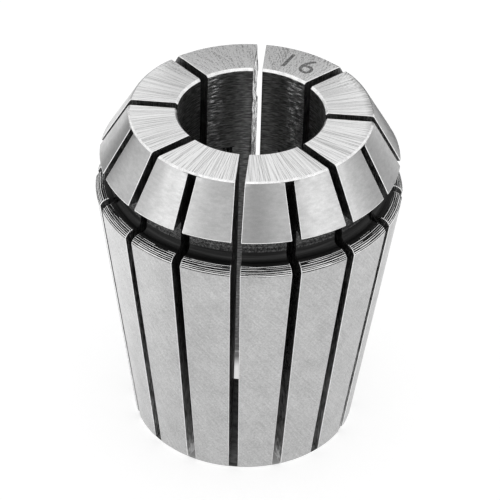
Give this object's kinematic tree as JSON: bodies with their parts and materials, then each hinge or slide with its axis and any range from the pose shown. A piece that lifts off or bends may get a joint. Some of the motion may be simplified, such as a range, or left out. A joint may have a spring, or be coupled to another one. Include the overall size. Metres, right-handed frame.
{
  "type": "er collet",
  "caption": "Round spring collet: a long rear taper, a groove, a short front cone, a through bore, and saw slots cut in turn from both ends.",
  "frame": {"origin": "centre of the small rear face, on which the collet stands", "axes": "+Z along the bore, from the small rear face to the front face; -Y through the middle of one of the slots sawn from the front face"},
  "size_m": [0.0334, 0.0334, 0.04],
  "materials": {
    "ground_steel": "ground satin steel, turned groove, sawn slots"
  },
  "bodies": {
    "root": {"collet": "ground_steel"}
  },
  "joints": []
}
